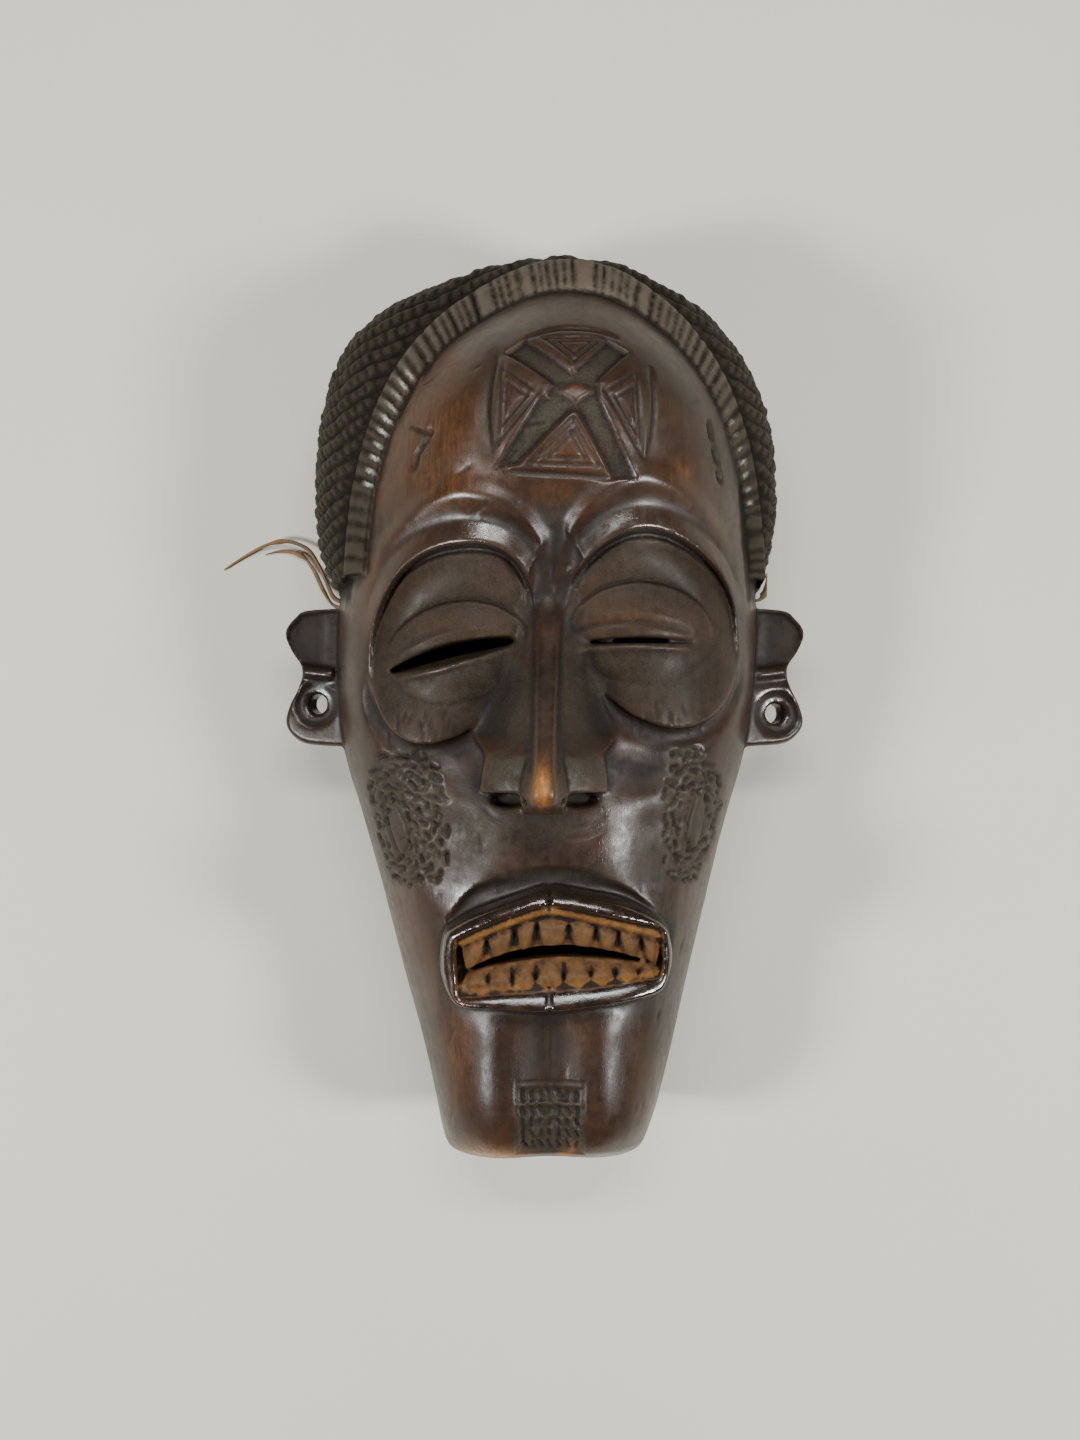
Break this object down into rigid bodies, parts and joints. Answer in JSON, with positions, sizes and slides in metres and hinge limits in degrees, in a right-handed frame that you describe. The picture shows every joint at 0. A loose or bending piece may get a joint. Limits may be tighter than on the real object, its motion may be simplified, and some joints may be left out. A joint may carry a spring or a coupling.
{
  "type": "chokwe mask",
  "caption": "carved wooden face mask with a chipped cap, pierced eyes, filed teeth and ears with ornament holes, lying face up",
  "frame": {"origin": "centre of the mask's own bounding box seen from the front, at the height of its flat back rim", "axes": "X to the right of someone looking at the face, Y from chin to crown, Z out of the face; the rim lies on Z = 0"},
  "size_m": [0.1666, 0.2452, 0.094],
  "materials": {
    "wood": "worn dark patina, semi-gloss on the high places",
    "raffia": "dry plant fibre"
  },
  "bodies": {
    "root": {"mask": "wood", "tie_left_long": "raffia", "tie_left_short": "raffia", "tie_right": "raffia"}
  },
  "joints": []
}
